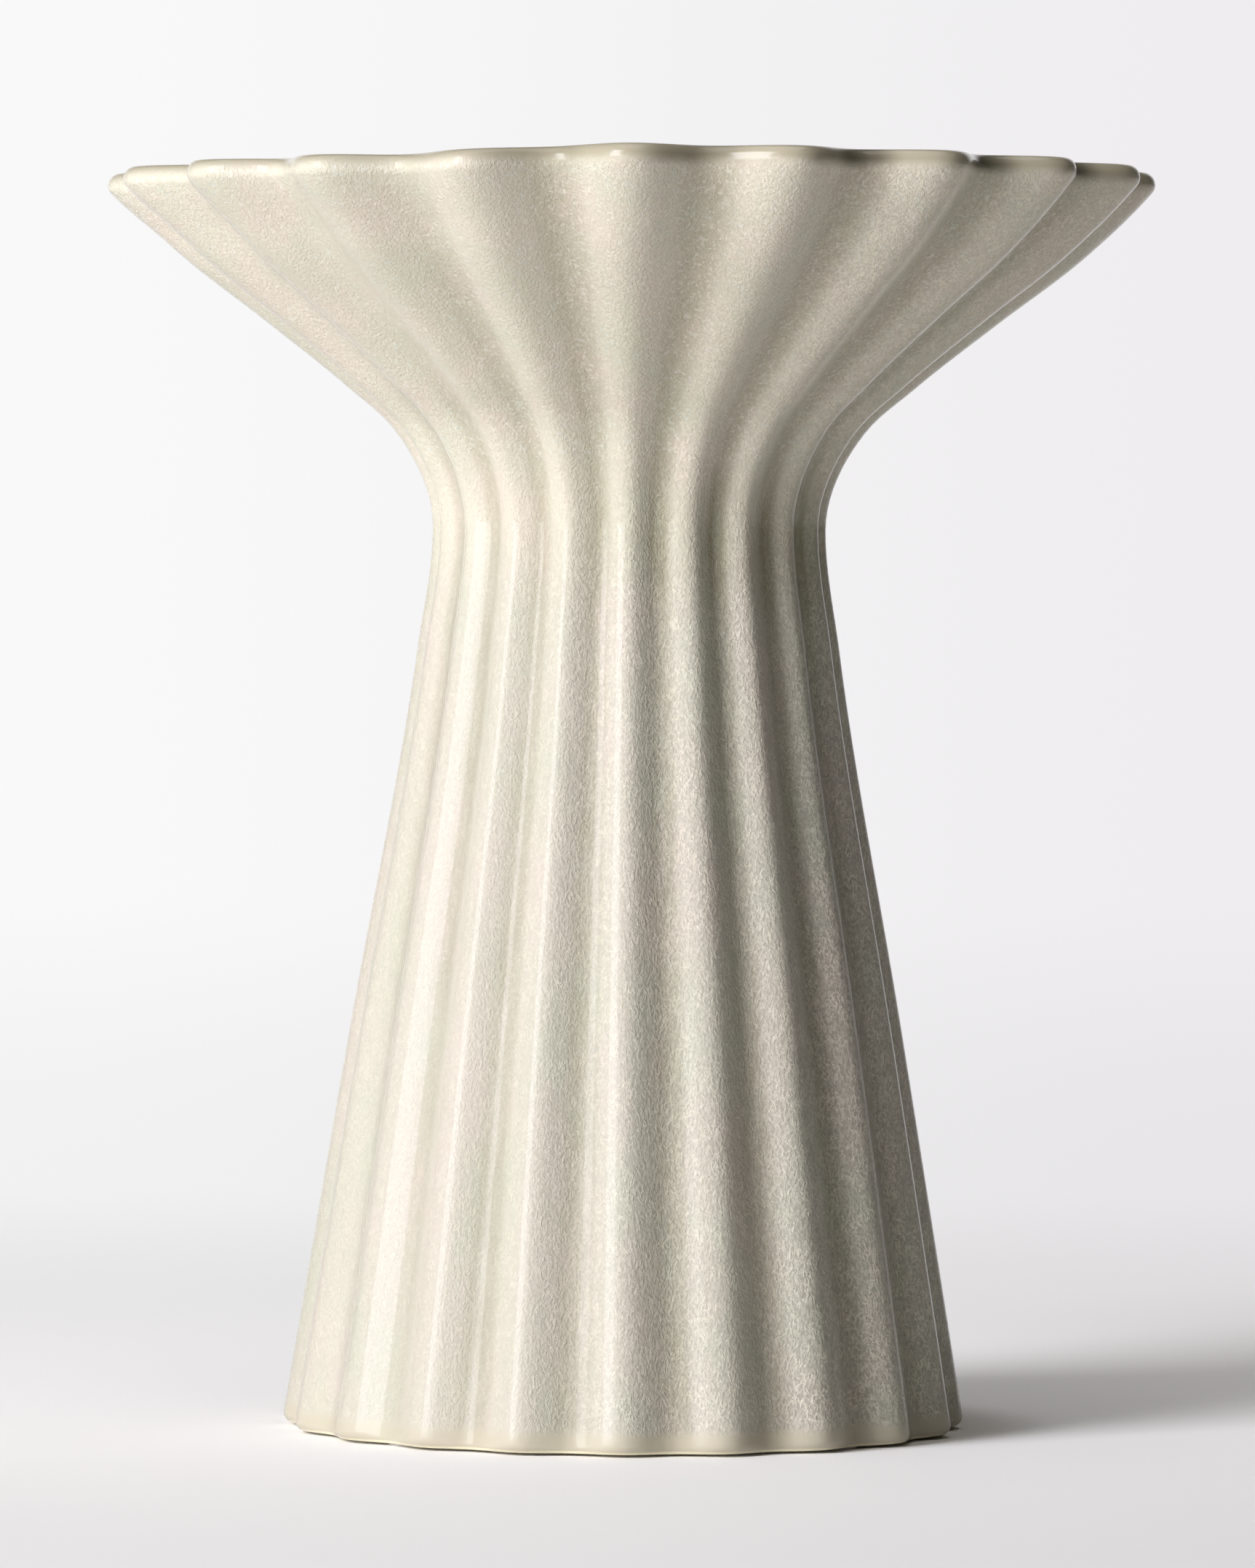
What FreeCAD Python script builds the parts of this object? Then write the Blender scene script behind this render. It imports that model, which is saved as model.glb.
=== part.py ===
import FreeCAD, Part
import math
import os

# Fan vase: a slip-cast stoneware shell whose flutes run from the foot through a narrow neck
# into a wide, fan-shaped mouth. It stands on four thin bumper pads stuck under its foot.
# Millimetres, +Z up, origin on the tabletop on the vase's axis. The crest of a flute faces -Y.

# The outside of the shell, read along the crest of a flute. Heights are above the tabletop.
height = 305.0
rim_radius = 126.8
neck_radius = 47.6
neck_height = 218.0
foot_radius = 82.4
foot_rounding = 2.5
rim_lean_deg = 41.0

# Points of that line from foot to neck, and from neck to lip: how far each has come across
# and up, as shares of the whole way.
stem_shares = ((0.45, 0.44), (0.895, 0.86))
bell_shares = ((0.12, 0.286), (0.27, 0.415), (0.526, 0.609), (0.787, 0.801))

# The wall halfway between crest and valley, which ends in a full round lip
wall = 6.0
# The floor, and the rounding inside where it meets the wall
floor_thickness = 7.0
floor_rounding = 9.0

# The flutes. Depths are from crest to valley, and grow evenly away from the neck. They are
# shallower at the wiped edge under the foot. Inside they fade out from the lip down to the
# throat of the bell, and the rest is round.
flute_count = 20
rim_flute_depth = 9.8
neck_flute_depth = 2.6
foot_flute_depth = 4.4
foot_edge_flute_depth = 2.4

# The shell is made of straight bands between waves. These are the places of the outside waves
# along the stem and the bell, as shares of each line from its start.
stem_wave_shares = (0.0, 0.42, 0.83)
bell_wave_shares = (0.0, 0.13, 0.26, 0.5, 0.78)
# The waves inside the bell: their places along its line, and their depths as shares of the rim's
inside_wave_shares = ((0.84, 0.75), (0.7, 0.5), (0.56, 0.27), (0.42, 0.1), (0.3, 0.0))
# The edges of the round inside, going down along the bell and then the stem
throat_edge_shares = (0.3, 0.15, 0.0)
cavity_edge_shares = (0.86, 0.0)
# The bands in the lip's outer quarter, and round the rounding of the floor
lip_bands = 2
floor_bands = 2

# The recess under the floor, which leaves a foot ring to stand on
foot_ring_width = 18.0
recess_depth = 3.0
recess_draft_deg = 30.0

# The bumper pads, stuck to the foot ring in line with valleys. Places are flutes round from +X.
pad_diameter = 8.0
pad_thickness = 0.6
pad_margin = 0.8
pad_places = {"back_right": 2.5, "back_left": 7.5, "front_left": 12.5, "front_right": 17.5}

full_turn = 2.0 * math.pi
quarter_turn = full_turn / 4.0
flute_turn = full_turn / flute_count
rim_lean = math.radians(rim_lean_deg)
lip_radius = wall / 2.0


def flat_point(radius, z):
    """A point of the half-section, with its distance from the axis along X."""
    return FreeCAD.Vector(radius, 0, z)


def toward(turn):
    """A direction in the half-section, turned up from straight outwards."""
    return flat_point(math.cos(turn), math.sin(turn))


def round_point(radius, turn, z):
    """A point at a distance from the axis, turned round it from +X."""
    return FreeCAD.Vector(radius * math.cos(turn), radius * math.sin(turn), z)


def mixed(start, end, share):
    return start + (end - start) * share


def outline(start, shares, end, start_direction, end_direction):
    """The smooth line through points given as shares of the way from start to end."""
    between = [flat_point(mixed(start.x, end.x, across), mixed(start.z, end.z, up)) for across, up in shares]
    curve = Part.BSplineCurve()
    curve.interpolate(
        Points=[start, *between, end], InitialTangent=start_direction, FinalTangent=end_direction
    )
    return curve.toShape()


def place_and_direction(line, share):
    """The point a share of the way along a line, and the way the line runs there."""
    at = line.getParameterByLength(line.Length * share)
    return line.valueAt(at), line.tangentAt(at)


def meeting_point(crest, valley):
    """Where a crest's arc runs smoothly into a valley's, just outside the middle of the two."""
    along = valley - crest
    bulge = math.tan(flute_turn / 8.0) / 2.0
    return mixed(crest, valley, 0.5) + FreeCAD.Vector(along.y, -along.x, 0) * bulge


class Wave:
    """A closed wave round the shell at one height, with its depth from crest to valley."""

    def __init__(self, middle_radius, z, depth):
        self.middle_radius = middle_radius
        self.z = z
        self.depth = depth

    def wire(self):
        """The wave as arcs: one over each crest and one through each valley."""
        half = self.depth / 2.0
        crests = [round_point(self.middle_radius + half, flute_turn * i, self.z) for i in range(flute_count + 1)]
        valleys = [round_point(self.middle_radius - half, flute_turn * (i + 0.5), self.z) for i in range(flute_count)]
        arcs = []
        for i in range(flute_count):
            rising = meeting_point(valleys[i - 1], crests[i])
            falling = meeting_point(crests[i], valleys[i])
            next_rising = meeting_point(valleys[i], crests[i + 1])
            arcs.append(Part.Arc(rising, crests[i], falling).toShape())
            arcs.append(Part.Arc(falling, valleys[i], next_rising).toShape())
        return Part.Wire(arcs)


def stem_line():
    """The crest line from the top of the foot's rounding up to the neck."""
    foot = flat_point(foot_radius, pad_thickness + foot_rounding)
    neck = flat_point(neck_radius, neck_height)
    across, up = stem_shares[0]
    rise = flat_point((neck.x - foot.x) * across, (neck.z - foot.z) * up).normalize()
    return outline(foot, stem_shares, neck, rise, toward(quarter_turn))


def bell_line():
    """The crest line from the neck up to the lip."""
    neck = flat_point(neck_radius, neck_height)
    lip_turn = quarter_turn - rim_lean
    lip_centre = flat_point(rim_radius - lip_radius, height - lip_radius)
    lip_start = lip_centre + toward(lip_turn - quarter_turn) * lip_radius
    return outline(neck, bell_shares, lip_start, toward(quarter_turn), toward(lip_turn))


def depth_at(crest_radius, end_radius, end_depth):
    """The depth outside where a crest stands so far out between the neck and an end."""
    share = (crest_radius - neck_radius) / (end_radius - neck_radius)
    return mixed(neck_flute_depth, end_depth, share)


def outside_waves(line, shares, end_radius, end_depth):
    """The waves with their crests on a line."""
    waves = []
    for share in shares:
        crest, _ = place_and_direction(line, share)
        depth = depth_at(crest.x, end_radius, end_depth)
        waves.append(Wave(crest.x - depth / 2.0, crest.z, depth))
    return waves


def inside_place(line, share, end_radius, end_depth):
    """The middle of the inside, one wall in from the middle of the outside."""
    crest, direction = place_and_direction(line, share)
    middle = crest.x - depth_at(crest.x, end_radius, end_depth) / 2.0
    return flat_point(middle, crest.z) - flat_point(direction.z, -direction.x) * wall


def lip_waves():
    """The waves from the lip's outermost line over its top, at the full depth of the rim."""
    middle = flat_point(rim_radius - lip_radius - rim_flute_depth / 2.0, height - lip_radius)
    places = [middle + toward(quarter_turn * i / lip_bands) * lip_radius for i in range(lip_bands + 1)]
    return [Wave(place.x, place.z, rim_flute_depth) for place in places]


def inside_waves(bell):
    """The waves inside the bell, fading out down to its throat."""
    waves = []
    for share, depth_share in inside_wave_shares:
        place = inside_place(bell, share, rim_radius, rim_flute_depth)
        waves.append(Wave(place.x, place.z, rim_flute_depth * depth_share))
    return waves


def cavity(stem, bell):
    """The round hollow from the throat of the bell down to the floor."""
    places = [inside_place(bell, share, rim_radius, rim_flute_depth) for share in throat_edge_shares]
    places += [inside_place(stem, share, foot_radius, foot_flute_depth) for share in cavity_edge_shares]
    floor_z = pad_thickness + floor_thickness
    above, foot = places[-2:]
    rounding_z = floor_z + floor_rounding
    rounding_radius = mixed(above.x, foot.x, (above.z - rounding_z) / (above.z - foot.z))
    centre = flat_point(rounding_radius - floor_rounding, rounding_z)
    places[-1:] = [centre + toward(-quarter_turn * i / floor_bands) * floor_rounding for i in range(floor_bands + 1)]
    top = flat_point(places[0].x, places[0].z + wall)
    axis_top = flat_point(0, top.z)
    axis_floor = flat_point(0, floor_z)
    section = Part.Face(Part.makePolygon([axis_top, top, *places, axis_floor, axis_top]))
    return section.revolve(flat_point(0, 0), flat_point(0, 1), math.degrees(full_turn))


def recess():
    """The hollow under the floor, which narrows upwards."""
    radius = foot_radius - foot_ring_width
    top_radius = radius - recess_depth * math.tan(math.radians(recess_draft_deg))
    return Part.makeCone(radius, top_radius, recess_depth, flat_point(0, pad_thickness))


def vase_body():
    """The fired shell: wall, lip, floor and foot ring in one piece."""
    stem = stem_line()
    bell = bell_line()
    foot_edge = foot_radius - foot_rounding
    waves = [
        Wave(foot_edge - foot_edge_flute_depth / 2.0, pad_thickness, foot_edge_flute_depth),
        *outside_waves(stem, stem_wave_shares, foot_radius, foot_flute_depth),
        *outside_waves(bell, bell_wave_shares, rim_radius, rim_flute_depth),
        *lip_waves(),
        *inside_waves(bell),
    ]
    shell = Part.makeLoft([wave.wire() for wave in waves], True, True)
    return shell.cut(cavity(stem, bell)).cut(recess())


def foot_pad(flutes_round):
    """A thin bumper pad, just inside the valley line of the foot ring."""
    ring_edge = foot_radius - foot_rounding - foot_edge_flute_depth
    centre = round_point(ring_edge - pad_margin - pad_diameter / 2.0, flute_turn * flutes_round, 0)
    return Part.makeCylinder(pad_diameter / 2.0, pad_thickness, centre)


def main():
    """Builds every piece and exports it."""
    os.makedirs("parts", exist_ok=True)
    vase_body().exportStep("parts/vase_body.step")
    for place, flutes_round in pad_places.items():
        foot_pad(flutes_round).exportStep(f"parts/foot_pad_{place}.step")


main()
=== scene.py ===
"""The looks of a fluted fan vase: a glazed stoneware shell on four bumper pads."""

import logging
import math
from dataclasses import dataclass, field
from enum import Enum

import bmesh
import bpy
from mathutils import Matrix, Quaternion, Vector
from mathutils.geometry import interpolate_bezier


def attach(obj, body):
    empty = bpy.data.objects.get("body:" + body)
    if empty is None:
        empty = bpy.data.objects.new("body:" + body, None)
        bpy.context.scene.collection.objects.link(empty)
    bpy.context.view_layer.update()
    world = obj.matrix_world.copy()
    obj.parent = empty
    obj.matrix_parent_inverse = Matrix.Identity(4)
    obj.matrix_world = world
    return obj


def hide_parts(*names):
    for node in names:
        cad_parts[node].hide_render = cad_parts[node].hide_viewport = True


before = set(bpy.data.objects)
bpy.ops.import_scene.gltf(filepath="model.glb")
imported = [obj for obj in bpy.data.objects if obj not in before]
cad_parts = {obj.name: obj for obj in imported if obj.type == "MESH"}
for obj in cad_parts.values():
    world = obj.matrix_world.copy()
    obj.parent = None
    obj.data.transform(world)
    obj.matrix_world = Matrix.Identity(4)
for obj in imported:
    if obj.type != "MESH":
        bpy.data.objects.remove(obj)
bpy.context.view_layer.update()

MM = 0.001
FULL_TURN = 2.0 * math.pi
QUARTER_TURN = math.pi / 2.0
FLUTE_COUNT = 20
# The vertex group that shapes the flutes, and the attribute that the glaze reads
DEPTH_GROUP = "flute_depth"
DEPTH_ATTRIBUTE = "flute_depth_share"
ORIGIN = (0.0, 0.0, 0.0)
UP = Vector((0.0, 0.0, 1.0))
LOG = logging.getLogger("fan_vase")

Colour = tuple[float, float, float, float]
Triple = tuple[float, float, float]
Pair = tuple[float, float]
Piece = bpy.types.Object
Socket = bpy.types.NodeSocket
Value = Socket | float | Triple | Colour


def rgb(red: int, green: int, blue: int) -> Colour:
    """Turns a colour's screen values, from 0 to 255, into the linear colour for a shader.

    Args:
        red: Screen red.
        green: Screen green.
        blue: Screen blue.

    Returns:
        The linear colour with full alpha.
    """

    def linear(value: int) -> float:
        """Takes one channel from screen to linear, by the sRGB curve."""
        share = value / 255.0
        return share / 12.92 if share <= 0.04045 else ((share + 0.055) / 1.055) ** 2.4

    return linear(red), linear(green), linear(blue), 1.0


def deselect_all() -> None:
    """Leaves object mode with nothing selected."""
    if bpy.context.object and bpy.context.object.mode != "OBJECT":
        bpy.ops.object.mode_set(mode="OBJECT")
    bpy.ops.object.select_all(action="DESELECT")


def make_active(piece: Piece) -> None:
    """Selects one object alone and makes it the active one.

    Args:
        piece: The object.
    """
    deselect_all()
    piece.select_set(True)
    bpy.context.view_layer.objects.active = piece


def name_piece(piece: Piece, name: str) -> None:
    """Gives an object and its mesh the same name."""
    piece.name = name
    piece.data.name = name


def edit_all(piece: Piece) -> None:
    """Opens an object in edit mode with everything selected.

    Args:
        piece: The object.
    """
    make_active(piece)
    bpy.ops.object.mode_set(mode="EDIT")
    bpy.ops.mesh.select_all(action="SELECT")


def select_points(piece: Piece, wanted: set[int]) -> None:
    """Selects some vertices of the mesh in edit mode, and nothing else.

    Args:
        piece: The object in edit mode.
        wanted: The numbers of the vertices to select.
    """
    mesh = bmesh.from_edit_mesh(piece.data)
    for vertex in mesh.verts:
        vertex.select = vertex.index in wanted
    mesh.select_flush(True)
    bmesh.update_edit_mesh(piece.data)


def apply_modifiers(piece: Piece) -> None:
    """Applies every modifier of an object, in order.

    Args:
        piece: The object.
    """
    make_active(piece)
    for modifier in list(piece.modifiers):
        bpy.ops.object.modifier_apply(modifier=modifier.name)


def toward(turn: float) -> Vector:
    """The direction in the half-section that lies so many radians up from outwards."""
    return Vector((math.cos(turn), 0.0, math.sin(turn)))


def smooth_share(value: float, start: float, end: float) -> float:
    """How far a value has come from start to end, from 0 to 1 with soft ends."""
    share = min(max((value - start) / (end - start), 0.0), 1.0)
    return share * share * (3.0 - 2.0 * share)


@dataclass(frozen=True)
class SectionPoint:
    """A point of the shell's half-section, with the flutes' depth there."""

    radius: float
    height: float
    depth: float = 0.0


Section = list[SectionPoint]


@dataclass
class ShellOutline:
    """The shell's half-section, worked out from the vase's own sizes."""

    height: float = 305.0 * MM
    rim_radius: float = 126.8 * MM
    neck_radius: float = 47.6 * MM
    neck_height: float = 218.0 * MM
    foot_radius: float = 82.4 * MM
    foot_rounding: float = 2.5 * MM
    rim_lean: float = math.radians(41.0)
    stem_shares: tuple[Pair, ...] = ((0.45, 0.44), (0.895, 0.86))
    bell_shares: tuple[Pair, ...] = ((0.12, 0.286), (0.27, 0.415), (0.526, 0.609), (0.787, 0.801))
    wall: float = 6.0 * MM
    floor_thickness: float = 7.0 * MM
    floor_rounding: float = 9.0 * MM
    rim_flute_depth: float = 9.8 * MM
    neck_flute_depth: float = 2.6 * MM
    foot_flute_depth: float = 4.4 * MM
    foot_edge_flute_depth: float = 2.4 * MM
    fade_share: float = 0.3
    foot_ring_width: float = 18.0 * MM
    recess_depth: float = 3.0 * MM
    recess_rounding: float = 1.5 * MM
    pad_thickness: float = 0.6 * MM
    outside_step: float = 2.6 * MM
    inside_step: float = 4.6 * MM
    rounding_steps: int = 5
    # Rows of points across the recess, the foot ring and the floor, as shares of the way
    recess_rows: tuple[float, ...] = (0.0, 0.35, 0.7, 0.9)
    ring_rows: tuple[float, ...] = (0.5, 0.8, 1.0)
    floor_rows: tuple[float, ...] = (1.0, 0.6, 0.25, 0.0)

    def depth_at(self, crest: Vector) -> float:
        """The flutes' depth outside, which grows evenly with the radius away from the neck.

        Args:
            crest: A point of the crest line.

        Returns:
            The depth from crest to valley.
        """
        end, end_depth = self.rim_radius, self.rim_flute_depth
        if crest.z < self.neck_height:
            end, end_depth = self.foot_radius, self.foot_flute_depth
        share = (crest.x - self.neck_radius) / (end - self.neck_radius)
        return self.neck_flute_depth + (end_depth - self.neck_flute_depth) * share

    @staticmethod
    def smooth_line(knots: list[Vector], first: Vector, last: Vector, step: float) -> list[Vector]:
        """A smooth line through knots, as points about a step apart.

        Args:
            knots: The points to pass through.
            first: The direction at the first knot.
            last: The direction at the last knot.
            step: The distance between points.

        Returns:
            The points, from the first knot to the last.
        """
        directions = [first.normalized()]
        for before, here, after in zip(knots, knots[1:], knots[2:]):
            back, ahead = here - before, after - here
            slope = back * (ahead.length / back.length) + ahead * (back.length / ahead.length)
            directions.append(slope.normalized())
        directions.append(last.normalized())
        points = [knots[0]]
        for i, (start, end) in enumerate(zip(knots, knots[1:])):
            reach = (end - start).length / 3.0
            count = max(3, round((end - start).length / step) + 1)
            span = interpolate_bezier(
                start, start + directions[i] * reach, end - directions[i + 1] * reach, end, count
            )
            points.extend(span[1:])
        return points

    @staticmethod
    def knots_between(start: Vector, shares: tuple[Pair, ...], end: Vector) -> list[Vector]:
        """The knots of a crest line.

        Args:
            start: The first knot.
            shares: The inner knots, as shares of the way across and up.
            end: The last knot.

        Returns:
            All the knots, in order.
        """
        way = end - start
        inner = [
            Vector((start.x + way.x * across, 0.0, start.z + way.z * up)) for across, up in shares
        ]
        return [start, *inner, end]

    @property
    def lip_centre(self) -> Vector:
        """The middle of the lip's rounding."""
        return Vector((self.rim_radius - self.wall / 2.0, 0.0, self.height - self.wall / 2.0))

    def crest_lines(self, step: float) -> tuple[list[Vector], list[Vector]]:
        """The crest lines of the stem and the bell, which meet at the neck.

        Args:
            step: The distance between points.

        Returns:
            The stem's points and the bell's, from the foot's rounding up to the lip's.
        """
        foot = Vector((self.foot_radius, 0.0, self.pad_thickness + self.foot_rounding))
        neck = Vector((self.neck_radius, 0.0, self.neck_height))
        lip = self.lip_centre + toward(-self.rim_lean) * (self.wall / 2.0)
        stem = self.knots_between(foot, self.stem_shares, neck)
        bell = self.knots_between(neck, self.bell_shares, lip)
        along = toward(QUARTER_TURN - self.rim_lean)
        return (
            self.smooth_line(stem, stem[1] - stem[0], UP, step),
            self.smooth_line(bell, UP, along, step),
        )

    def rounding(
        self, centre: Vector, radius: float, start: float, end: float, depths: Pair
    ) -> Section:
        """Points round an arc of the crest line, without its two ends.

        Args:
            centre: The arc's centre.
            radius: Its radius.
            start: Its first turn, in radians up from straight outwards.
            end: Its last turn.
            depths: The flutes' depth at its two ends.

        Returns:
            The points between the ends.
        """
        points = []
        for i in range(1, self.rounding_steps):
            share = i / self.rounding_steps
            turn = start + (end - start) * share
            depth = depths[0] + (depths[1] - depths[0]) * share
            place = centre + toward(turn) * radius
            points.append(SectionPoint(place.x - depth / 2.0, place.z, depth))
        return points

    def inside_point(self, line: list[Vector], number: int, depth: float) -> SectionPoint:
        """The middle of the inside wall, one wall in from the middle of the outside.

        Args:
            line: The crest line outside.
            number: The number of its point to start from.
            depth: The flutes' depth inside.

        Returns:
            The point.
        """
        before = line[max(number - 1, 0)]
        after = line[min(number + 1, len(line) - 1)]
        along = (after - before).normalized()
        middle = line[number] - Vector((self.depth_at(line[number]) / 2.0, 0.0, 0.0))
        middle -= Vector((along.z, 0.0, -along.x)) * self.wall
        return SectionPoint(middle.x, middle.z, depth)

    def points(self) -> Section:
        """The whole half-section, from the middle of the recess to the middle of the floor."""
        return [*self.underside(), *self.outside(), *self.lip(), *self.inside()]

    def underside(self) -> Section:
        """The recess and the foot ring, from the axis to the outside.

        Returns:
            The points, in order.
        """
        recess_radius = self.foot_radius - self.foot_ring_width
        ceiling = self.pad_thickness + self.recess_depth
        points = [SectionPoint(recess_radius * share, ceiling) for share in self.recess_rows]
        corner = Vector((recess_radius - self.recess_rounding, 0.0, ceiling - self.recess_rounding))
        points.append(SectionPoint(corner.x, ceiling))
        points.extend(self.rounding(corner, self.recess_rounding, QUARTER_TURN, 0.0, (0.0, 0.0)))
        points.append(SectionPoint(recess_radius, corner.z))
        bevel = self.recess_rounding / 3.0
        points.append(SectionPoint(recess_radius, self.pad_thickness + bevel))
        points.append(SectionPoint(recess_radius + bevel, self.pad_thickness))
        edge = self.foot_radius - self.foot_rounding
        half = self.foot_edge_flute_depth / 2.0
        for share in self.ring_rows:
            radius = recess_radius + (edge - half - recess_radius) * share
            depth = self.foot_edge_flute_depth * share * share
            points.append(SectionPoint(radius, self.pad_thickness, depth))
        centre = Vector((edge, 0.0, self.pad_thickness + self.foot_rounding))
        depths = (self.foot_edge_flute_depth, self.foot_flute_depth)
        points.extend(self.rounding(centre, self.foot_rounding, -QUARTER_TURN, 0.0, depths))
        return points

    def outside(self) -> Section:
        """The outside, from the foot's rounding to the start of the lip.

        Returns:
            The points, in order.
        """
        points = []
        for line in self.crest_lines(self.outside_step):
            for crest in line[:-1]:
                depth = self.depth_at(crest)
                points.append(SectionPoint(crest.x - depth / 2.0, crest.z, depth))
        return points

    def lip(self) -> Section:
        """The full round lip, from its outer side over the top.

        Returns:
            The points, in order.
        """
        depths = (self.rim_flute_depth, self.rim_flute_depth)
        end = 2.0 * QUARTER_TURN - self.rim_lean
        turns = (-self.rim_lean, 0.0, QUARTER_TURN, end)
        points = []
        for first, last in zip(turns, turns[1:]):
            begin = self.lip_centre + toward(first) * (self.wall / 2.0)
            middle = begin.x - self.rim_flute_depth / 2.0
            points.append(SectionPoint(middle, begin.z, self.rim_flute_depth))
            points.extend(self.rounding(self.lip_centre, self.wall / 2.0, first, last, depths))
        return points

    def inside(self) -> Section:
        """The inside, from the lip down to the middle of the floor, with flutes that fade out.

        Returns:
            The points, in order.
        """
        points = []
        stem, bell = self.crest_lines(self.inside_step)
        for number in range(len(bell) - 1, 0, -1):
            share = number / (len(bell) - 1)
            fade = max(0.0, (share - self.fade_share) / (1.0 - self.fade_share))
            depth = self.rim_flute_depth * fade * math.sqrt(fade)
            points.append(self.inside_point(bell, number, depth))
        floor = self.pad_thickness + self.floor_thickness
        for number in range(len(stem) - 1, 0, -1):
            point = self.inside_point(stem, number, 0.0)
            if point.height > floor + self.floor_rounding:
                points.append(point)
        wall_foot = points[-1]
        centre = Vector((wall_foot.radius - self.floor_rounding, 0.0, floor + self.floor_rounding))
        points.extend(self.rounding(centre, self.floor_rounding, 0.0, -QUARTER_TURN, (0.0, 0.0)))
        points.extend(SectionPoint(centre.x * share, floor) for share in self.floor_rows)
        return points


@dataclass
class FlutedShell:
    """The vase's one fired piece, with flutes all round."""

    outline: ShellOutline = field(default_factory=ShellOutline)
    flute_count: int = FLUTE_COUNT
    columns: int = 20
    merge_distance: float = 0.01 * MM
    # How far the mouth sags, the heights between which that grows, and how far to the left
    sag: float = 2.0 * MM
    sag_rise: Pair = (286.0 * MM, 303.0 * MM)
    sag_side: Pair = (0.0 * MM, 60.0 * MM)

    def draw_half_section(self, section: Section) -> Piece:
        """Draws the half-section towards the front, as a chain of edges.

        Args:
            section: The points, in order.

        Returns:
            The object that holds the chain.
        """
        deselect_all()
        bpy.ops.mesh.primitive_plane_add(size=self.outline.wall, location=ORIGIN)
        shell = bpy.context.object
        edit_all(shell)
        bpy.ops.mesh.merge(type="CENTER")
        here = Vector((0.0, -section[0].radius, section[0].height))
        bpy.ops.transform.translate(value=here)
        for point in section[1:]:
            there = Vector((0.0, -point.radius, point.height))
            bpy.ops.mesh.extrude_vertices_move(TRANSFORM_OT_translate={"value": there - here})
            here = there
        bpy.ops.object.mode_set(mode="OBJECT")
        return shell

    def spin_flute(self, shell: Piece) -> None:
        """Turns the half-section through one flute, from crest to crest.

        Args:
            shell: The object that holds the half-section.
        """
        edit_all(shell)
        bpy.ops.mesh.spin(
            steps=self.columns, angle=FULL_TURN / self.flute_count, center=ORIGIN, axis=UP
        )
        bpy.ops.object.mode_set(mode="OBJECT")

    @staticmethod
    def start_shape(shell: Piece, group: str) -> None:
        """Adds a shape key at full strength and opens it in edit mode.

        Args:
            shell: The object.
            group: The vertex group that says how far each point follows.
        """
        make_active(shell)
        bpy.ops.object.shape_key_add(from_mix=False)
        bpy.ops.object.shape_key_add(from_mix=False)
        shell.active_shape_key_index = 1
        shell.active_shape_key.value = 1.0
        shell.active_shape_key.vertex_group = group
        bpy.ops.object.mode_set(mode="EDIT")

    @staticmethod
    def keep_shape() -> None:
        """Closes the shape key and makes its shape the mesh's own."""
        bpy.ops.object.mode_set(mode="OBJECT")
        bpy.ops.object.shape_key_remove(all=True, apply_mix=True)

    def shape_flute(self, shell: Piece, largest: float) -> None:
        """Draws the columns of points in and out, as far as each level's depth asks.

        Args:
            shell: The spun sector, with its depths in a vertex group.
            largest: The largest half depth, as a share of its radius.
        """
        sector = FULL_TURN / self.flute_count
        columns: dict[int, set[int]] = {}
        for vertex in shell.data.vertices:
            if math.hypot(vertex.co.x, vertex.co.y) > self.merge_distance:
                turn = abs(math.atan2(vertex.co.x, -vertex.co.y))
                columns.setdefault(round(turn / sector * self.columns), set()).add(vertex.index)
        self.start_shape(shell, DEPTH_GROUP)
        bpy.ops.mesh.select_mode(type="VERT")
        for column, numbers in columns.items():
            scale = 1.0 + largest * math.cos(FULL_TURN * column / self.columns)
            select_points(shell, numbers)
            bpy.ops.transform.resize(value=(scale, scale, 1.0), center_override=ORIGIN)
        self.keep_shape()

    def repeat_flute(self, shell: Piece) -> None:
        """Sets the flute all round the axis and closes the shell.

        Args:
            shell: The shaped sector.
        """
        deselect_all()
        bpy.ops.object.empty_add(location=ORIGIN)
        turn = bpy.context.object
        turn.rotation_euler.z = FULL_TURN / self.flute_count
        bpy.context.view_layer.update()
        array = shell.modifiers.new("flutes", "ARRAY")
        array.count = self.flute_count
        array.use_relative_offset = False
        array.use_object_offset = True
        array.offset_object = turn
        array.use_merge_vertices = True
        array.use_merge_vertices_cap = True
        array.merge_threshold = self.merge_distance
        apply_modifiers(shell)
        bpy.data.objects.remove(turn)
        edit_all(shell)
        bpy.ops.mesh.remove_doubles(threshold=self.merge_distance)
        bpy.ops.mesh.normals_make_consistent(inside=False)
        bpy.ops.object.mode_set(mode="OBJECT")

    def mark_flutes(self, shell: Piece) -> None:
        """Keeps how deep the flutes are at each point, for the glaze to read.

        Args:
            shell: The closed shell.
        """
        depths = shell.data.attributes.new(DEPTH_ATTRIBUTE, "FLOAT", "POINT")
        for vertex in shell.data.vertices:
            depths.data[vertex.index].value = sum(group.weight for group in vertex.groups)

    def sag_mouth(self, shell: Piece) -> None:
        """Lets the mouth sag a little on its left, as the fired vase does.

        Args:
            shell: The closed shell.
        """
        group = shell.vertex_groups.new(name="sag")
        for vertex in shell.data.vertices:
            share = smooth_share(vertex.co.z, *self.sag_rise)
            share *= smooth_share(-vertex.co.x, *self.sag_side)
            if share > 0.0:
                group.add([vertex.index], share, "REPLACE")
        self.start_shape(shell, group.name)
        bpy.ops.mesh.select_all(action="SELECT")
        bpy.ops.transform.translate(value=UP * -self.sag)
        self.keep_shape()

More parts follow.
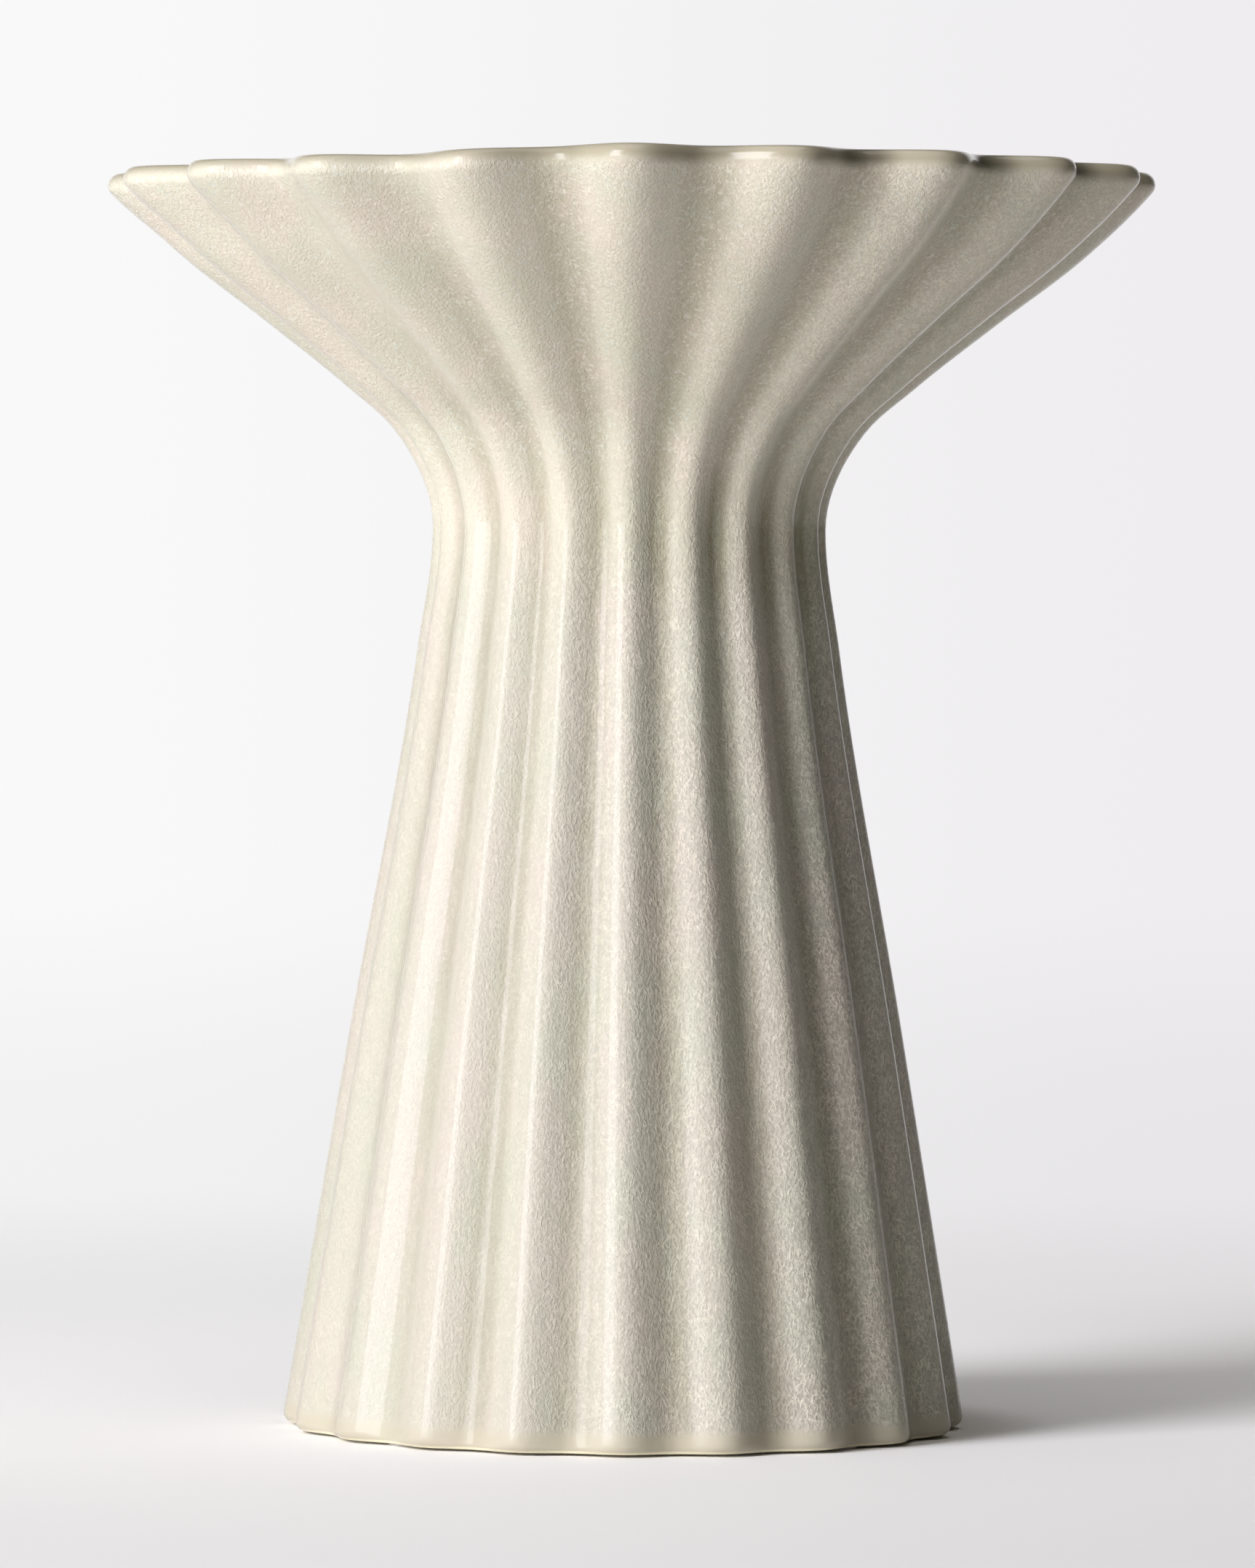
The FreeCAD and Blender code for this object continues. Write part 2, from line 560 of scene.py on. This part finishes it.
    def build(self) -> Piece:
        """Models the shell.

        Returns:
            The finished piece.
        """
        section = self.outline.points()
        shares = [
            point.depth / 2.0 / point.radius if point.radius > 0.0 else 0.0 for point in section
        ]
        largest = max(shares)
        shell = self.draw_half_section(section)
        group = shell.vertex_groups.new(name=DEPTH_GROUP)
        for number, share in enumerate(shares):
            group.add([number], share / largest, "REPLACE")
        self.spin_flute(shell)
        self.shape_flute(shell, largest)
        self.repeat_flute(shell)
        self.mark_flutes(shell)
        self.sag_mouth(shell)
        shell.vertex_groups.clear()
        bpy.ops.object.shade_smooth()
        name_piece(shell, "fluted_shell")
        return shell


class PadPlace(Enum):
    """The places of the pads, in degrees round from the vase's right."""

    BACK_RIGHT = 45.0
    BACK_LEFT = 135.0
    FRONT_LEFT = 225.0
    FRONT_RIGHT = 315.0


@dataclass
class BumperPads:
    """Four thin, clear stick-on pads under the foot ring, each in line with a valley."""

    diameter: float = 8.0 * MM
    thickness: float = 0.6 * MM
    edge: float = 0.15 * MM
    edge_steps: int = 2
    smooth_degrees: float = 50.0
    centre_radius: float = 72.7 * MM
    sides: int = 48

    def build(self) -> dict[str, Piece]:
        """Models the pads.

        Returns:
            The pads by the name of their place.
        """
        pads = {}
        for place in PadPlace:
            turn = math.radians(place.value)
            across, back = self.centre_radius * math.cos(turn), self.centre_radius * math.sin(turn)
            deselect_all()
            bpy.ops.mesh.primitive_cylinder_add(
                vertices=self.sides,
                radius=self.diameter / 2.0,
                depth=self.thickness,
                location=(across, back, self.thickness / 2.0),
            )
            pad = bpy.context.object
            bpy.ops.object.transform_apply(location=True)
            bevel = pad.modifiers.new("edge", "BEVEL")
            bevel.width = self.edge
            bevel.segments = self.edge_steps
            apply_modifiers(pad)
            bpy.ops.object.shade_smooth_by_angle(angle=math.radians(self.smooth_degrees))
            name = place.name.lower()
            name_piece(pad, f"bumper_pad_{name}")
            pads[name] = pad
        return pads


class Zone(Enum):
    """The named masks that the glaze reads, each from 0 to 1."""

    # Valleys, where the glaze pools and where shade is painted
    POOLED_AND_SHADED_VALLEY = "Valley"
    STEM = "Stem"
    # The side away from the key light, where shade is painted
    SIDE = "Side"
    LIP = "Lip"
    FOOT = "Foot"
    EDGE = "Edge"


class Fleck(Enum):
    """The named patterns of the glaze, each from 0 to 1."""

    WORMS = "Worms"
    GRAIN = "Grain"
    SPECKS = "Specks"
    CLOUDS = "Clouds"
    STREAKS = "Streaks"


@dataclass(frozen=True)
class NoiseLayer:
    """One noise: its scale per metre, also upwards, and its values that give 0 and 1."""

    scale: float
    detail: float
    upwards: float = 1.0
    roughness: float = 0.5
    distortion: float = 0.0
    low: float = 0.0
    high: float = 1.0


@dataclass(frozen=True)
class NodeTree:
    """A shader or group tree, with short ways to add and join nodes."""

    tree: bpy.types.NodeTree

    def add(self, kind: str, *values: Value, **settings: object) -> bpy.types.Node:
        """Adds a node of a kind.

        Args:
            kind: The node's Blender type, without its leading ShaderNode.
            values: Sockets or plain values for its inputs, in order.
            settings: Values for the node's own properties.

        Returns:
            The new node.
        """
        node = self.tree.nodes.new(kind if kind.startswith("NodeGroup") else f"ShaderNode{kind}")
        for name, value in settings.items():
            setattr(node, name, value)
        for value, target in zip(values, node.inputs):
            self.feed(value, target)
        return node

    def join(self, source: Socket, target: Socket) -> None:
        """Joins an output to an input."""
        self.tree.links.new(source, target)

    def feed(self, value: Value, target: Socket) -> None:
        """Gives an input its value.

        Args:
            value: An output to join, or a plain value to set.
            target: The input.
        """
        if isinstance(value, Socket):
            self.join(value, target)
        else:
            target.default_value = value

    @staticmethod
    def fill(node: bpy.types.Node, **values: Value) -> None:
        """Sets a node's inputs to plain values, by names with underscores for spaces."""
        for name, value in values.items():
            node.inputs[name.replace("_", " ")].default_value = value

    def maths(self, operation: str, first: Value, second: Value, clamp: bool = False) -> Socket:
        """Adds a Math node that reads sockets or numbers, and clamps the result if asked."""
        return self.add("Math", first, second, operation=operation, use_clamp=clamp).outputs[0]

    def times(self, first: Value, second: Value) -> Socket:
        """Adds the product of two sockets or numbers."""
        return self.maths("MULTIPLY", first, second)

    def ramp(
        self, value: Socket, low: float, high: float, start: float = 0.0, end: float = 1.0
    ) -> Socket:
        """Adds a smooth step.

        Args:
            value: The value to map.
            low: The value that gives start.
            high: The value that gives end.
            start: The result at and below low.
            end: The result at and above high.

        Returns:
            The result's socket.
        """
        node = self.add("MapRange", value, interpolation_type="SMOOTHSTEP", clamp=True)
        self.fill(node, From_Min=low, From_Max=high, To_Min=start, To_Max=end)
        return node.outputs["Result"]

    def mix(self, share: Value, first: Value, second: Value, blend: str = "MIX") -> Socket:
        """Mixes two colours.

        Args:
            share: How much of the second, as a socket or number.
            first: A socket or colour.
            second: A socket or colour.
            blend: The Mix node's blend type.

        Returns:
            The result's socket.
        """
        node = self.add("Mix", data_type="RGBA", blend_type=blend)
        self.feed(share, node.inputs[0])
        self.feed(first, node.inputs[6])
        self.feed(second, node.inputs[7])
        return node.outputs[2]

    def noise(self, place: Socket, layer: NoiseLayer) -> Socket:
        """Adds a noise.

        Args:
            place: The place to read.
            layer: The noise's sizes.

        Returns:
            The noise value's socket.
        """
        mapping = self.add("Mapping", place)
        self.fill(mapping, Scale=(1.0, 1.0, layer.upwards))
        node = self.add("TexNoise", mapping.outputs[0])
        self.fill(node, Scale=layer.scale, Detail=layer.detail)
        self.fill(node, Roughness=layer.roughness, Distortion=layer.distortion)
        return node.outputs[0]

    def layer(self, place: Socket, layer: NoiseLayer, *ends: float) -> Socket:
        """Adds a noise and a smooth step from its low to its high, which gives the ends."""
        return self.ramp(self.noise(place, layer), layer.low, layer.high, *ends)


def new_group(name: str, outputs: type[Enum]) -> NodeTree:
    """Starts a shader node group that reads a place and puts out plain values.

    Args:
        name: The group's name.
        outputs: The names of its outputs.

    Returns:
        The group's tree, to be filled in.
    """
    tree = bpy.data.node_groups.new(name, "ShaderNodeTree")
    tree.interface.new_socket("Place", in_out="INPUT", socket_type="NodeSocketVector")
    for output in outputs:
        tree.interface.new_socket(output.value, in_out="OUTPUT", socket_type="NodeSocketFloat")
    return NodeTree(tree)


def new_material(name: str) -> tuple[bpy.types.Material, NodeTree, bpy.types.Node]:
    """Starts a material.

    Args:
        name: Its name.

    Returns:
        The material, its tree and its Principled BSDF.
    """
    material = bpy.data.materials.new(name)
    material.use_nodes = True
    return material, NodeTree(material.node_tree), material.node_tree.nodes["Principled BSDF"]


@dataclass(frozen=True)
class ShellZones:
    """Masks for the parts of the shell that the glaze lies on differently, and for where shade is
    painted.
    """

    flute_count: int = FLUTE_COUNT
    # The shares of the flutes' depth between which the glaze that pools in the valleys, and their
    # painted shade, come in
    fluted_band: Pair = (0.1, 0.5)
    stem_band: Pair = (190.0 * MM, 240.0 * MM)
    # Across this band the valleys' dark glaze and painted shade fade out towards the lit left
    valley_shade_band: Pair = (-68.0 * MM, -32.0 * MM)
    # Each side band brings half of the way from the lit side to the shaded one, where shade and
    # stronger flecks are painted
    side_step: float = 0.5
    near_side_band: Pair = (-40.0 * MM, 20.0 * MM)
    far_side_band: Pair = (36.0 * MM, 46.0 * MM)
    lip_band: Pair = (299.5 * MM, 303.0 * MM)
    foot_band: Pair = (3.6 * MM, 7.0 * MM)
    foot_edge: Pair = (1.0 * MM, 1.5 * MM)

    def group(self) -> bpy.types.NodeTree:
        """Builds the node group that reads a place on the shell.

        Returns:
            The group, with one output for each zone.
        """
        zones = new_group("shell_zones", Zone)
        start = zones.add("NodeGroupInput")
        end = zones.add("NodeGroupOutput")
        across, back, height = zones.add("SeparateXYZ", start.outputs["Place"]).outputs
        turn = zones.maths("ARCTAN2", across, back)
        wave = zones.maths("COSINE", zones.times(turn, float(self.flute_count)), 0.0)
        depth = zones.add("Attribute", attribute_name=DEPTH_ATTRIBUTE).outputs["Fac"]
        # Valleys: glaze that pools there and painted shade, left out on the lit left side
        valley = zones.times(zones.ramp(wave, 0.0, -1.0), zones.ramp(depth, *self.fluted_band))
        valley = zones.times(valley, zones.ramp(across, *self.valley_shade_band))
        stem = zones.ramp(height, self.stem_band[1], self.stem_band[0])
        near_side = zones.ramp(across, *self.near_side_band, 0.0, self.side_step)
        far_side = zones.ramp(across, *self.far_side_band, 0.0, self.side_step)
        side = zones.maths("ADD", near_side, far_side)
        lip = zones.ramp(height, *self.lip_band)
        foot = zones.ramp(height, self.foot_band[1], self.foot_band[0])
        edge = zones.ramp(height, self.foot_edge[1], self.foot_edge[0])
        for zone, value in zip(Zone, (valley, stem, side, lip, foot, edge)):
            zones.join(value, end.inputs[zone.value])
        return zones.tree


@dataclass(frozen=True)
class MossyFlecks:
    """The fine pattern that breaks out in a reactive glaze as it cools."""

    # Worms are thin lines where their noise crosses its middle, broken by gaps
    worms: NoiseLayer = NoiseLayer(980.0, 1.5, 0.62, distortion=0.6)
    worm_width: float = 0.1
    worm_gaps: NoiseLayer = NoiseLayer(294.0, 1.0, 0.7, low=0.3, high=0.6)
    faintest_worm: float = 0.35
    grain: NoiseLayer = NoiseLayer(1350.0, 2.0, 0.7, 0.6, low=0.34, high=0.66)
    specks: NoiseLayer = NoiseLayer(980.0, 1.0, 0.9, distortion=0.3, low=0.57, high=0.64)
    clouds: NoiseLayer = NoiseLayer(60.0, 3.0, 0.4, 0.6, low=0.34, high=0.66)
    streaks: NoiseLayer = NoiseLayer(420.0, 2.0, 0.035, low=0.34, high=0.66)

    def group(self) -> bpy.types.NodeTree:
        """Builds the node group that reads a place on a glazed piece.

        Returns:
            The group, with one output for each pattern.
        """
        flecks = new_group("mossy_flecks", Fleck)
        start = flecks.add("NodeGroupInput")
        end = flecks.add("NodeGroupOutput")
        place = start.outputs["Place"]
        from_middle = flecks.maths("SUBTRACT", flecks.noise(place, self.worms), 0.5)
        ridge = flecks.maths("ABSOLUTE", from_middle, 0.0)
        line = flecks.ramp(ridge, self.worm_width, 0.0)
        broken = flecks.layer(place, self.worm_gaps, self.faintest_worm, 1.0)
        flecks.join(flecks.times(line, broken), end.inputs[Fleck.WORMS.value])
        plain = {
            Fleck.GRAIN: self.grain,
            Fleck.SPECKS: self.specks,
            Fleck.CLOUDS: self.clouds,
            Fleck.STREAKS: self.streaks,
        }
        for fleck, layer in plain.items():
            flecks.join(flecks.layer(place, layer), end.inputs[fleck.value])
        return flecks.tree


@dataclass(frozen=True)
class GlazeTree(NodeTree):
    """The glaze's tree, with the sockets of its zones and patterns."""

    zones: dict[Zone, Socket]
    flecks: dict[Fleck, Socket]


@dataclass(frozen=True)
class ReactiveGlaze:
    """The satin glaze: warm grey-beige ground under fine cream flecks."""

    # The ground and its streaks, the glaze that pools in the valleys with painted shade there,
    # painted shade on the neck's shaded side, and the stem's tone, painted darker than the bell's
    ground_green: Colour = rgb(204, 199, 179)
    ground_pink: Colour = rgb(208, 199, 181)
    green_streak: Colour = rgb(196, 196, 174)
    pink_streak: Colour = rgb(212, 198, 183)
    streak_share: float = 0.3
    pooled_glaze_and_shade: Colour = rgb(138, 130, 100)
    pooling_and_shade: float = 0.42
    neck_valley_shade: float = 1.6
    neck_shade: float = 1.6
    # Painted shade: the stem is a little darker and cooler than the bell, for the different light
    # on them
    stem_painted_shade: Colour = (0.88, 0.89, 0.91, 1.0)
    # The flecks: strengths on the lit side and in the shade, painted fainter on the lit side where
    # highlights wash them out, and on the bell and the stem
    worm_weight: float = 0.7
    grain_weight: float = 0.3
    mean_pattern: float = 0.45
    fleck_strength: Pair = (0.15, 0.62)
    bell_fleck_share: float = 0.55
    speck_strength: Pair = (0.4, 0.08)
    speck_fade: float = 0.1
    fleck: Colour = rgb(226, 222, 210)
    cool_fleck: Colour = rgb(208, 213, 202)
    # The lip, partly its own olive tone and partly painted shade, with painted shade in its valleys
    # on the shaded side, the tan band at the foot and the wiped clay under it
    # The lip's own olive tone, darkened with painted shade
    lip: Colour = rgb(158, 150, 127)
    lip_tone_and_shade_share: float = 0.85
    # Painted shade in the lip's valleys on the side away from the key light
    shaded_lip_valley: Colour = rgb(62, 58, 42)
    lip_valley_shade: float = 0.9
    foot_glaze: Colour = rgb(186, 177, 153)
    foot_share: float = 0.6
    bare_clay: Colour = rgb(234, 226, 196)
    # The shine and the relief
    roughness: float = 0.46
    fleck_roughness: float = 0.8
    lip_roughness: float = 0.26
    shine: float = 0.25
    coat: float = 1.0
    coat_ior: float = 1.2
    coat_roughness: float = 0.1
    relief: float = 0.08 * MM
    worm_relief: float = 0.6

    def ground(self, glaze: GlazeTree) -> Socket:
        """Adds the ground's colour, with its streaks, the glaze that pools in the valleys and
        painted shade there, painted shade on the neck's shaded side and the stem painted darker
        than the bell.

        Args:
            glaze: The glaze's tree.

        Returns:
            The colour's socket.
        """
        clouds, stem = glaze.flecks[Fleck.CLOUDS], glaze.zones[Zone.STEM]
        # Painted shade on the neck, on the side away from the key light, in its valleys and all
        # over
        neck = glaze.times(stem, glaze.maths("SUBTRACT", 1.0, stem))
        neck = glaze.times(neck, glaze.zones[Zone.SIDE])
        pooling_and_shade = glaze.maths("ADD", glaze.times(neck, self.neck_valley_shade), self.pooling_and_shade)
        # How much of the dark colour: the glaze that pools in the valleys, with painted shade there
        # and on the neck
        pooled_glaze_and_shade = glaze.times(glaze.zones[Zone.POOLED_AND_SHADED_VALLEY], pooling_and_shade)
        pooled_glaze_and_shade = glaze.maths("ADD", pooled_glaze_and_shade, glaze.times(neck, self.neck_shade), clamp=True)
        colour = glaze.mix(clouds, self.ground_green, self.ground_pink)
        colour = glaze.mix(pooled_glaze_and_shade, colour, self.pooled_glaze_and_shade)
        tint = glaze.mix(clouds, self.green_streak, self.pink_streak)
        streaks = glaze.times(glaze.flecks[Fleck.STREAKS], self.streak_share)
        colour = glaze.mix(streaks, colour, tint)
        # Painted shade on the stem
        return glaze.mix(stem, colour, self.stem_painted_shade, "MULTIPLY")

    def flecked(self, glaze: GlazeTree, pattern: Socket, kept: Socket) -> Socket:
        """Adds the ground's colour with the flecks on it.

        Args:
            glaze: The glaze's tree.
            pattern: The worms and the grain together.
            kept: How much of the flecks there is, away from the lip and the foot.

        Returns:
            The colour's socket.
        """
        stem = glaze.zones[Zone.STEM]
        # Painted light: the flecks grow fainter on the side that faces the key light, where
        # highlights wash them out
        weakest, strongest = self.fleck_strength
        strength = glaze.times(glaze.zones[Zone.SIDE], strongest - weakest)
        strength = glaze.maths("ADD", strength, weakest)
        strength = glaze.times(strength, glaze.ramp(stem, 0.0, 1.0, self.bell_fleck_share, 1.0))
        strength = glaze.times(strength, kept)
        swing = glaze.maths("SUBTRACT", pattern, self.mean_pattern)
        toned = glaze.add("VectorMath", self.ground(glaze), operation="SCALE")
        tone = glaze.maths("ADD", glaze.times(swing, strength), 1.0)
        glaze.join(tone, toned.inputs["Scale"])
        speck_share = glaze.ramp(stem, 0.0, self.speck_fade, *self.speck_strength)
        shown = glaze.times(glaze.times(glaze.flecks[Fleck.SPECKS], speck_share), kept)
        fleck = glaze.mix(glaze.flecks[Fleck.CLOUDS], self.cool_fleck, self.fleck)
        return glaze.mix(shown, toned.outputs[0], fleck)

    def edged(self, glaze: GlazeTree, colour: Socket) -> Socket:
        """Adds the colours of the lip, with its painted shade, and of the foot over the rest.

        Args:
            glaze: The glaze's tree.
            colour: The colour of the rest.

        Returns:
            The colour's socket.
        """
        zones = glaze.zones
        # Painted shade in the lip's valleys on the side away from the key light
        shaded = glaze.times(glaze.times(zones[Zone.POOLED_AND_SHADED_VALLEY], zones[Zone.SIDE]), self.lip_valley_shade)
        lip_colour = glaze.mix(shaded, self.lip, self.shaded_lip_valley)
        # The lip, with painted shade over its own olive tone
        colour = glaze.mix(glaze.times(zones[Zone.LIP], self.lip_tone_and_shade_share), colour, lip_colour)
        colour = glaze.mix(glaze.times(zones[Zone.FOOT], self.foot_share), colour, self.foot_glaze)
        return glaze.mix(zones[Zone.EDGE], colour, self.bare_clay)

    def material(self) -> bpy.types.Material:
        """Builds the glaze.

        Returns:
            The material.
        """
        material, tree, surface = new_material("reactive_glaze")
        place = tree.add("TexCoord").outputs["Object"]
        zone_node = tree.add("Group", place, node_tree=ShellZones().group())
        fleck_node = tree.add("Group", place, node_tree=MossyFlecks().group())
        zones = {zone: zone_node.outputs[zone.value] for zone in Zone}
        flecks = {fleck: fleck_node.outputs[fleck.value] for fleck in Fleck}
        glaze = GlazeTree(tree.tree, zones, flecks)

        smooth = glaze.maths("MAXIMUM", zones[Zone.LIP], zones[Zone.FOOT])
        kept = glaze.maths("SUBTRACT", 1.0, smooth)
        worms = glaze.times(flecks[Fleck.WORMS], self.worm_weight)
        grain = glaze.times(flecks[Fleck.GRAIN], self.grain_weight)
        pattern = glaze.maths("ADD", worms, grain)
        colour = self.edged(glaze, self.flecked(glaze, pattern, kept))
        glaze.join(colour, surface.inputs["Base Color"])

        rough = glaze.ramp(pattern, 0.0, 1.0, self.roughness, self.fleck_roughness)
        smoother = glaze.maths("SUBTRACT", rough, self.lip_roughness)
        rough = glaze.maths("SUBTRACT", rough, glaze.times(zones[Zone.LIP], smoother))
        glaze.join(rough, surface.inputs["Roughness"])
        glaze.fill(
            surface,
            Specular_IOR_Level=self.shine,
            Coat_Weight=self.coat,
            Coat_IOR=self.coat_ior,
            Coat_Roughness=self.coat_roughness,
        )

        bump = glaze.add("Bump")
        glaze.fill(bump, Strength=1.0, Distance=self.relief)
        worms = glaze.times(flecks[Fleck.WORMS], self.worm_relief)
        height = glaze.times(glaze.maths("ADD", worms, flecks[Fleck.GRAIN]), kept)
        glaze.join(height, bump.inputs["Height"])
        glaze.join(bump.outputs["Normal"], surface.inputs["Normal"])
        return material


@dataclass(frozen=True)
class ClearPad:
    """The soft, milky plastic of the bumper pads."""

    colour: Colour = rgb(232, 224, 220)
    cloud: Colour = rgb(214, 204, 198)
    clouds: NoiseLayer = NoiseLayer(400.0, 2.0, low=0.3, high=0.7)
    cloudiness: float = 0.3
    roughness: float = 0.3
    clearness: float = 0.35

    def material(self) -> bpy.types.Material:
        """Builds the pads' plastic.

        Returns:
            The material.
        """
        material, pad, surface = new_material("clear_pad")
        place = pad.add("TexCoord").outputs["Object"]
        cloudy = pad.layer(place, self.clouds, 0.0, self.cloudiness)
        pad.join(pad.mix(cloudy, self.colour, self.cloud), surface.inputs["Base Color"])
        pad.fill(surface, Roughness=self.roughness, Transmission_Weight=self.clearness)
        return material


@dataclass(frozen=True)
class SoftBox:
    """One studio lamp, aimed at the middle of the vase."""

    name: str
    azimuth: float
    elevation: float
    width: float
    tall: float
    power: float
    colour: Triple
    distance: float = 3.0

    def place(self, target: Vector) -> None:
        """Hangs the lamp.

        Args:
            target: The point that it faces.
        """
        azimuth, elevation = math.radians(self.azimuth), math.radians(self.elevation)
        level = math.cos(elevation)
        direction = Vector(
            (math.sin(azimuth) * level, -math.cos(azimuth) * level, math.sin(elevation))
        )
        deselect_all()
        bpy.ops.object.light_add(type="AREA", location=target + direction * self.distance)
        lamp = bpy.context.object
        lamp.name = self.name
        lamp.rotation_euler = (-direction).to_track_quat("-Z", "Y").to_euler()
        lamp.data.shape = "RECTANGLE"
        lamp.data.size = self.width
        lamp.data.size_y = self.tall
        lamp.data.energy = self.power
        lamp.data.color = self.colour


@dataclass
class Studio:
    """The pale floor that fades into a pale background, the lamps and the camera."""

    floor_size: float = 12.0
    floor_colour: Colour = rgb(245, 243, 241)
    floor_roughness: float = 0.75
    floor_shine: float = 0.2
    # More diffuse light on the floor for the camera, growing along Y
    floor_lift: float = 0.26
    lift_reach: Pair = (-0.3, 0.1)
    # The background that the floor fades into, and its colours from left to right
    bright_side: Colour = rgb(249, 249, 249)
    dim_side: Colour = rgb(239, 237, 239)
    spread: float = 0.075
    # Where the floor fades: along Y, and by distance from the axis near the foot and far off
    fade_reach: Pair = (0.0, 0.9)
    near_share: float = 0.19
    foot_reach: Pair = (0.083, 0.115)
    around_reach: Pair = (0.9, 2.2)
    far_reach: Pair = (0.6, 4.0)
    far_dimming: float = 0.93
    # The background's reflection in the glaze, and its light
    backdrop_reach: Pair = (0.7, 0.95)
    side_glow: float = 0.05
    world_light: float = 0.01
    # The camera, and the photograph's horizon, focal length and height in its own pixels
    camera_distance: float = 2.145
    camera_height: float = 0.1994
    lens: float = 203.1
    horizon_row: float = 832.0
    focal_pixels: float = 12166.0
    frame_height: float = 2156.0
    roll_degrees: float = 0.4
    sensor_width: float = 36.0
    clip_end: float = 50.0
    middle_height: float = 0.15

    def lamps(self) -> list[SoftBox]:
        """The lamps, by azimuth to the right of the camera and elevation in degrees.

        Returns:
            The lamps.
        """
        cool, warm = (0.94, 0.94, 1.0), (1.0, 0.98, 0.93)
        return [
            SoftBox("tall_key", -48.0, 20.0, width=1.1, tall=2.7, power=139.0, colour=cool),
            SoftBox("low_fill", -32.0, 5.0, width=0.8, tall=0.8, power=12.0, colour=cool),
            SoftBox("top", 0.0, 88.0, width=2.4, tall=2.4, power=27.0, colour=warm),
        ]

    def falloff(self, shader: NodeTree, place: Socket) -> Socket:
        """Adds the background's colour, which dims from the lit side to the other.

        Args:
            shader: The tree to add it to.
            place: The place or direction to read.

        Returns:
            The colour's socket.
        """
        across, back, _ = shader.add("SeparateXYZ", place).outputs
        across = shader.maths("DIVIDE", across, back)
        share = shader.ramp(across, -self.spread, self.spread)
        return shader.mix(share, self.bright_side, self.dim_side)

    def floor_material(self) -> bpy.types.Material:
        """Builds the floor's paint, which turns into the background away from the vase.

        Returns:
            The material.
        """
        material, floor, surface = new_material("studio_floor")
        floor.fill(surface, Base_Color=self.floor_colour, Roughness=self.floor_roughness)
        floor.fill(surface, Specular_IOR_Level=self.floor_shine)
        place = floor.add("TexCoord").outputs["Object"]
        back = floor.add("SeparateXYZ", place).outputs["Y"]
        rays = floor.add("LightPath")
        camera_ray = rays.outputs["Is Camera Ray"]

        to_camera = (0.0, self.camera_distance, 0.0)
        moved = floor.add("VectorMath", place, to_camera, operation="ADD").outputs[0]
        dimmed = floor.ramp(back, *self.far_reach, self.far_dimming, 1.0)
        far = floor.add("Emission", self.falloff(floor, moved), dimmed)

        away = floor.add("VectorMath", place, operation="LENGTH").outputs["Value"]
        near = floor.ramp(away, *self.foot_reach, 0.0, self.near_share)
        around = floor.maths("MAXIMUM", near, floor.ramp(away, *self.around_reach))
        fade = floor.maths("MAXIMUM", floor.ramp(back, *self.fade_reach), around)
        seen = floor.maths("MAXIMUM", camera_ray, rays.outputs["Is Glossy Ray"])

        lift = floor.ramp(back, *self.lift_reach, 0.0, self.floor_lift)
        lift = floor.add("BsdfDiffuse", floor.times(lift, camera_ray))
        lifted = floor.add("AddShader", surface.outputs[0], lift.outputs[0])
        fade = floor.times(fade, seen)
        mixed = floor.add("MixShader", fade, lifted.outputs[0], far.outputs[0])
        floor.join(mixed.outputs[0], material.node_tree.nodes["Material Output"].inputs[0])
        return material

    def build_floor(self) -> None:
        """Lays the floor."""
        deselect_all()
        bpy.ops.mesh.primitive_plane_add(size=self.floor_size, location=ORIGIN)
        floor = bpy.context.object
        name_piece(floor, "studio_floor")
        floor.data.materials.append(self.floor_material())

    def build_world(self) -> None:
        """Sets the background's colour and its weak light."""
        world = bpy.data.worlds.new("studio_world")
        bpy.context.scene.world = world
        world.use_nodes = True
        sky = NodeTree(world.node_tree)
        background = world.node_tree.nodes["Background"]
        direction = sky.add("TexCoord").outputs["Generated"]
        sky.join(self.falloff(sky, direction), background.inputs["Color"])
        rays = sky.add("LightPath")
        through = rays.outputs["Is Transmission Ray"]
        seen = sky.maths("MAXIMUM", rays.outputs["Is Camera Ray"], through)
        behind = sky.add("SeparateXYZ", direction).outputs["Y"]
        backdrop = sky.ramp(behind, *self.backdrop_reach, self.side_glow, 1.0)
        glossy = sky.times(rays.outputs["Is Glossy Ray"], backdrop)
        strength = sky.maths("MAXIMUM", sky.maths("MAXIMUM", seen, glossy), self.world_light)
        sky.join(strength, background.inputs["Strength"])

    def build_camera(self) -> None:
        """Sets the camera where the photograph was taken from."""
        pitch = math.atan((self.frame_height / 2.0 - self.horizon_row) / self.focal_pixels)
        deselect_all()
        bpy.ops.object.camera_add(location=(0.0, -self.camera_distance, self.camera_height))
        camera = bpy.context.object
        camera.rotation_mode = "QUATERNION"
        ahead = Vector((0.0, math.cos(pitch), -math.sin(pitch)))
        roll = Quaternion(UP, math.radians(self.roll_degrees))
        camera.rotation_quaternion = ahead.to_track_quat("-Z", "Y") @ roll
        camera.data.lens = self.lens
        camera.data.sensor_width = self.sensor_width
        camera.data.clip_end = self.clip_end
        bpy.context.scene.camera = camera

    def build(self) -> None:
        """Sets up the whole studio."""
        self.build_floor()
        self.build_world()
        for lamp in self.lamps():
            lamp.place(UP * self.middle_height)
        self.build_camera()
        bpy.context.scene.view_settings.view_transform = "Standard"


def main() -> None:
    """Builds the vase and the studio round it."""
    logging.basicConfig(level=logging.INFO, format="%(name)s: %(message)s")
    shell = FlutedShell().build()
    shell.data.materials.append(ReactiveGlaze().material())
    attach(shell, "root")
    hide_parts("vase_body")
    LOG.info("fluted shell: %d faces", len(shell.data.polygons))
    plastic = ClearPad().material()
    for place, pad in BumperPads().build().items():
        pad.data.materials.append(plastic)
        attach(pad, "root")
        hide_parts(f"foot_pad_{place}")
        LOG.info("bumper pad %s: %d faces", place, len(pad.data.polygons))
    Studio().build()
    LOG.info("studio: floor, world, lamps and camera")


if __name__ == "__main__":
    main()
